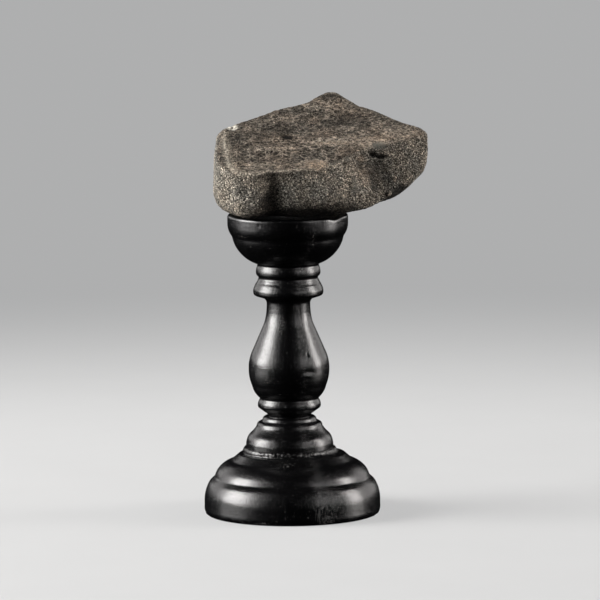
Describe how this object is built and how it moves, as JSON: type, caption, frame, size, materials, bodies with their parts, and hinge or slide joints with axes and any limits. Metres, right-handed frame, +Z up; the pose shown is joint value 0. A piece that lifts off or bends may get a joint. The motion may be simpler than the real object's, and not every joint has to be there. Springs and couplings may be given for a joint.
{
  "type": "meteorite on stand",
  "caption": "Dark crusted stony meteorite with a sloping crackled top, resting on a small turned wooden stand painted black.",
  "frame": {"origin": "centre of the base's flat underside, on the base's axis", "axes": "+Z up along the stand's axis, +X to the right along the stone's long side, +Y to the back, where the stone is highest"},
  "size_m": [0.0764, 0.0596, 0.1404],
  "materials": {
    "fusion_crust": "rough matt dark brown crust with a fine pale crackle",
    "painted_wood": "satin black paint over open-grained turned wood"
  },
  "bodies": {
    "root": {"meteorite": "fusion_crust", "stand_column": "painted_wood", "stand_base": "painted_wood"}
  },
  "joints": []
}
